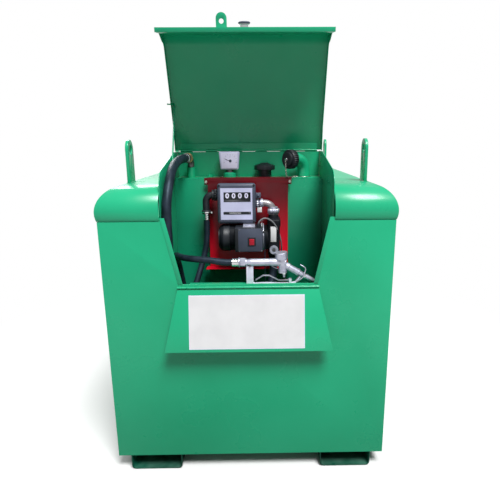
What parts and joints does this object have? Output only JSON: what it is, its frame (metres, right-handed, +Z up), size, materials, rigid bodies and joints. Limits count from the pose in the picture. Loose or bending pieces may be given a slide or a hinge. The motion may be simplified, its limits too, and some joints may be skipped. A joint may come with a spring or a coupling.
{
  "type": "bunded diesel tank",
  "caption": "Box-shaped double-walled diesel storage tank with a rolled top, lift-up lid, drop-down flap, pump, meter, hose and nozzle in an open front cabinet.",
  "frame": {"origin": "on the ground, under the middle of the whole object", "axes": "+Z up, front with the cabinet towards -Y, +X to the right seen from the front"},
  "size_m": [1.212, 1.6655, 1.95],
  "materials": {
    "green_paint": "gloss",
    "red_paint": "satin",
    "black_casting": "satin",
    "slate_casting": "satin",
    "pale_panel": "matte",
    "white_plastic": "gloss",
    "black_rubber": "matte",
    "bright_metal": "polished",
    "dark_metal": "satin",
    "red_plastic": "gloss",
    "grey_cable": "matte"
  },
  "bodies": {
    "tank": {"bund_floor": "green_paint", "bund_front_wall": "green_paint", "bund_rear_wall": "green_paint", "bund_left_wall": "green_paint", "bund_right_wall": "green_paint", "left_seat_strip": "green_paint", "right_seat_strip": "green_paint", "cabinet_sill": "green_paint", "top_cover": "green_paint", "left_fork_channel": "green_paint", "right_fork_channel": "green_paint", "front_left_lifting_eye": "green_paint", "front_right_lifting_eye": "green_paint", "rear_left_lifting_eye": "green_paint", "rear_right_lifting_eye": "green_paint", "left_cheek": "green_paint", "right_cheek": "green_paint", "cabinet_left_wall": "green_paint", "cabinet_right_wall": "green_paint", "cabinet_floor": "green_paint", "cabinet_back_panel": "green_paint", "fitting_shelf": "green_paint", "inner_tank_front_wall": "green_paint", "inner_tank_shell": "green_paint", "inner_tank_roof": "green_paint", "inner_tank_left_bearer": "green_paint", "inner_tank_right_bearer": "green_paint", "lid_hinge_fixed_leaf": "green_paint", "flap_hinge_fixed_leaf": "green_paint", "suction_pipe": "green_paint", "fill_pipe": "green_paint", "pump_bracket": "red_paint", "vent_cap": "black_casting", "fill_cap": "black_casting", "outlet_elbow": "black_casting", "pump_motor": "black_casting", "pump_head": "black_casting", "flow_meter": "slate_casting", "terminal_box": "slate_casting", "meter_face": "pale_panel", "level_gauge": "white_plastic", "suction_hose": "black_rubber", "supply_lead": "black_rubber", "delivery_hose_drop": "black_rubber", "delivery_hose_return": "black_rubber", "hose_coil": "black_rubber", "inlet_elbow": "bright_metal", "nozzle_body": "bright_metal", "nozzle_spout": "bright_metal", "nozzle_guard": "bright_metal", "suction_elbow": "dark_metal", "motor_cable": "grey_cable"},
    "lid": {"lid_panel": "green_paint", "lid_lock": "bright_metal", "lid_hinge_leaf": "green_paint"},
    "stay": {"lid_stay": "green_paint"},
    "flap": {"flap_panel": "green_paint", "flap_hinge_leaf": "green_paint"},
    "trigger": {"nozzle_trigger": "dark_metal"},
    "switch": {"pump_switch": "red_plastic"}
  },
  "joints": [
    {"name": "lid_hinge", "type": "hinge", "parent": "tank", "child": "lid", "pos_m": [0, -0.27162, 1.414], "axis": [1, 0, 0], "range_deg": [0, 81]},
    {"name": "stay_pivot", "type": "hinge", "parent": "lid", "child": "stay", "pos_m": [-0.3445, -0.32551, 1.62952], "axis": [1, 0, 0], "range_deg": [-81, 0]},
    {"name": "flap_hinge", "type": "hinge", "parent": "tank", "child": "flap", "pos_m": [0, -0.77972, 0.872], "axis": [1, 0, 0], "range_deg": [-168.6, 0]},
    {"name": "nozzle_trigger_pivot", "type": "hinge", "parent": "tank", "child": "trigger", "pos_m": [0.176, -0.73292, 0.888], "axis": [0, 1, 0], "range_deg": [0, 12], "stiffness_Nm_per_rad": 1, "springref_deg": -8.59},
    {"name": "switch_rocker", "type": "hinge", "parent": "tank", "child": "switch", "pos_m": [0.0135, -0.56592, 1.016], "axis": [1, 0, 0], "range_deg": [-14, 0]}
  ],
  "couplings": [
    {"joint": "stay_pivot", "follows": "lid_hinge", "ratio": -1}
  ]
}
